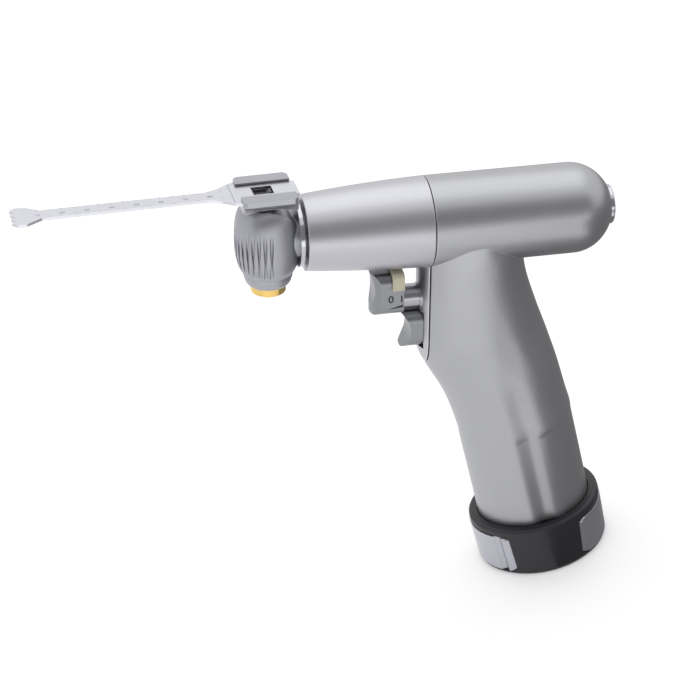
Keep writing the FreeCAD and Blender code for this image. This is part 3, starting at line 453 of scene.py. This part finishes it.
class SAW_OT_triggers(bpy.types.Operator):
    """Triggers with their marks, stem and safety slide"""
    bl_idname = "saw.triggers"
    bl_label = "Triggers"

    def execute(self, context):
        colours = context.scene.saw_colours
        dress(metal("trigger_metal", colours.trigger, 0.38), "trigger_knob", "lower_trigger")
        dress(metal("stem_steel", colours.stem, 0.24, 0.03, brushed=True), "trigger_stem",
              "trigger_bush")
        dress(metal("safety_plastic", colours.ivory, 0.42, 0.05, 0.0, 0.03), "safety_slider")
        face = plane(at(0.0, -KNOB_HALF_WIDTH - MARK_LIFT, 0.0), ALONG, UPWARD)
        height = MARK_HEIGHT / 1000.0
        zero = lettering("0", height, 0.035)
        one = bar(MARK_STROKE / 1000.0, height)
        ramp = patch([(x / 1000.0, z / 1000.0) for x, z in RAMP])
        artwork = [(zero, face @ shifted(ZERO_PLACE, MARK_LEVEL)),
                   (one, face @ shifted(ONE_PLACE, MARK_LEVEL)), (ramp, face)]
        paint = metal("mark_paint", colours.marking, 0.5, 0.1, 0.0, wear_and_highlight=0.0)
        marks("trigger_marks", "trigger", paint, artwork)
        return {"FINISHED"}


class SAW_OT_lid(bpy.types.Operator):
    """Battery lid and its two latches"""
    bl_idname = "saw.lid"
    bl_label = "Battery lid"

    def execute(self, context):
        colours = context.scene.saw_colours
        dress(metal("lid_plastic", colours.lid, 0.42, 0.08, 0.0, 0.06, wear_and_highlight=0.10), "battery_lid")
        dress(metal("latch_metal", colours.latch, 0.3, brushed=True), "front_latch",
              "rear_latch")
        return {"FINISHED"}


class SAW_OT_inside(bpy.types.Operator):
    """Pieces inside the casing"""
    bl_idname = "saw.inside"
    bl_label = "Inside"

    def execute(self, context):
        base = context.scene.saw_colours.rubber
        steel = metal("inner_steel", (0.5, 0.5, 0.52), 0.22, 0.04)
        rubber = metal("inner_rubber", base, 0.6, metallic=0.0, wear_and_highlight=0.0)
        plastic = metal("inner_plastic", (0.04, 0.04, 0.045), 0.45, metallic=0.0)
        brass = metal("inner_gold", (0.75, 0.55, 0.2), 0.2, 0.03)
        dress(steel, "motor_front_plate", "motor_rear_plate", "motor_screws", "trigger_spring",
              "lower_spring", "rotor", "motor_shaft", "shaft_coupling", "drive_shaft",
              "eccentric", "eccentric_roller", "spigot_nut", "drive_bearings", "upper_bearing",
              "lower_bearing", "button_spring", "output_spindle", "fork", "push_rod",
              "lower_stem")
        dress(rubber, "spindle_seal", "lid_seal", "front_latch_pad", "rear_latch_pad")
        dress(plastic, "contact_block", "battery_case")
        dress(brass, "contact_pins", "battery_contacts")
        dress(metal("bush_bronze", (0.45, 0.30, 0.14), 0.3), "swivel_bush")
        dress(metal("winding_copper", (0.55, 0.27, 0.15), 0.35), "motor_can")
        dress(metal("board_laminate", (0.02, 0.13, 0.05), 0.4, metallic=0.0), "controller_board")
        dress(metal("cell_sleeve", (0.05, 0.14, 0.35), 0.35, metallic=0.0), "battery_cells")
        return {"FINISHED"}


def soft_box(name, place, aim, size, power):
    """Rectangular area lamp pointed at the saw."""
    data = bpy.data.lights.new(name, "AREA")
    data.shape = "RECTANGLE"
    data.size, data.size_y = size
    data.energy = power
    lamp = bpy.data.objects.new(name, data)
    bpy.context.collection.objects.link(lamp)
    lamp.location = place
    lamp.rotation_mode = "QUATERNION"
    lamp.rotation_quaternion = (Vector(aim) - Vector(place)).to_track_quat("-Z", "Y")


def shown(tree, level):
    """A value that rises from this level to 1 for camera, mirror and see-through rays."""
    path = tree.nodes.new("ShaderNodeLightPath")
    seen = math_node(tree, "MAXIMUM", path.outputs["Is Camera Ray"], path.outputs["Is Glossy Ray"])
    seen = math_node(tree, "MAXIMUM", seen, path.outputs["Is Transmission Ray"])
    return math_node(tree, "ADD", math_node(tree, "MULTIPLY", seen, 1.0 - level), level)


def reflection_card(name, corners, level):
    """Dim card that paints dark reflections on the metal; only the metal's reflections show it."""
    material = bpy.data.materials.new(name)
    material.use_nodes = True
    tree = material.node_tree
    tree.nodes.remove(tree.nodes["Principled BSDF"])
    glow = tree.nodes.new("ShaderNodeEmission")
    glow.inputs["Strength"].default_value = level
    tree.links.new(glow.outputs[0], tree.nodes["Material Output"].inputs["Surface"])
    mesh = bpy.data.meshes.new(name)
    mesh.from_pydata(corners, [], [tuple(range(len(corners)))])
    mesh.materials.append(material)
    card = bpy.data.objects.new(name, mesh)
    bpy.context.collection.objects.link(card)
    card.visible_camera = card.visible_diffuse = card.visible_shadow = False
    card.visible_transmission = card.visible_volume_scatter = False


class SAW_OT_stage(bpy.types.Operator):
    """Floor, soft studio light and camera"""
    bl_idname = "saw.stage"
    bl_label = "Stage"

    def execute(self, context):
        scene = context.scene
        sizes = scene.saw_sizes
        scene.view_settings.view_transform = "Standard"
        floor = bpy.data.objects.new("floor", bar(2.0 * FLOOR_REACH, 2.0 * FLOOR_REACH))
        context.collection.objects.link(floor)
        material = bpy.data.materials.new("floor_paper")
        material.use_nodes = True
        tree = material.node_tree
        shader = tree.nodes["Principled BSDF"]
        shader.inputs["Base Color"].default_value = (*scene.saw_colours.floor, 1.0)
        shader.inputs["Roughness"].default_value = 0.9
        shader.inputs["Specular IOR Level"].default_value = 0.1
        shader.inputs["Emission Color"].default_value = (1.0, 1.0, 1.0, 1.0)
        lift = math_node(tree, "MULTIPLY", shown(tree, 0.0), sizes.lift)
        tree.links.new(lift, shader.inputs["Emission Strength"])
        floor.data.materials.append(material)

        world = scene.world or bpy.data.worlds.new("studio")
        scene.world = world
        world.use_nodes = True
        tree = world.node_tree
        back = tree.nodes["Background"]
        back.inputs["Color"].default_value = (1.0, 1.0, 1.0, 1.0)
        tree.links.new(shown(tree, sizes.world), back.inputs["Strength"])

        soft_box("key_box", KEY_PLACE, LAMP_AIM, KEY_SIZE, sizes.key)
        soft_box("bounce_card", BOUNCE_PLACE, BOUNCE_AIM, BOUNCE_SIZE, sizes.bounce)
        # Dim cards seen only in the metal's reflections: painted dark reflections, the floor one
        # painted shade of the floor under the saw.
        reflection_card("front_reflection_card", FRONT_REFLECTION_CARD, sizes.front_card_level)
        reflection_card("floor_shade_card", [(x, y, FLOOR_SHADE_CARD_HEIGHT) for x, y in FLOOR_SHADE_CARD], sizes.card)

        data = bpy.data.cameras.new("photo_camera")
        data.sensor_width = CAMERA_SENSOR
        data.lens = CAMERA_LENS
        camera = bpy.data.objects.new("photo_camera", data)
        context.collection.objects.link(camera)
        forward = Vector(CAMERA_FORWARD).normalized()
        right = Vector(CAMERA_RIGHT).normalized()
        turn = Matrix((right, right.cross(forward), -forward)).transposed()
        camera.matrix_world = Matrix.Translation(CAMERA_PLACE) @ turn.to_4x4()
        scene.camera = camera
        return {"FINISHED"}


class SAW_PT_panel(bpy.types.Panel):
    """Sidebar panel with every step"""
    bl_idname = "SAW_PT_panel"
    bl_label = "Surgical Saw"
    bl_space_type = "VIEW_3D"
    bl_region_type = "UI"
    bl_category = "Saw"

    def draw(self, context):
        layout = self.layout
        for step in STEPS:
            layout.operator(step.bl_idname)
        for group_name in ("saw_colours", "saw_sizes"):
            values = getattr(context.scene, group_name)
            column = layout.column()
            for key in values.__annotations__:
                column.prop(values, key)


STEPS = (SAW_OT_casing, SAW_OT_head, SAW_OT_blade, SAW_OT_triggers, SAW_OT_lid, SAW_OT_inside,
         SAW_OT_stage)
CLASSES = (SawColours, SawSizes) + STEPS + (SAW_PT_panel,)


def register():
    for item in CLASSES:
        bpy.utils.register_class(item)
    bpy.types.Scene.saw_colours = PointerProperty(type=SawColours)
    bpy.types.Scene.saw_sizes = PointerProperty(type=SawSizes)


def unregister():
    del bpy.types.Scene.saw_sizes
    del bpy.types.Scene.saw_colours
    for item in reversed(CLASSES):
        bpy.utils.unregister_class(item)


def main():
    register()
    bpy.ops.saw.casing()
    bpy.ops.saw.head()
    bpy.ops.saw.blade()
    bpy.ops.saw.triggers()
    bpy.ops.saw.lid()
    bpy.ops.saw.inside()
    bpy.ops.saw.stage()


if __name__ == "__main__":
    main()
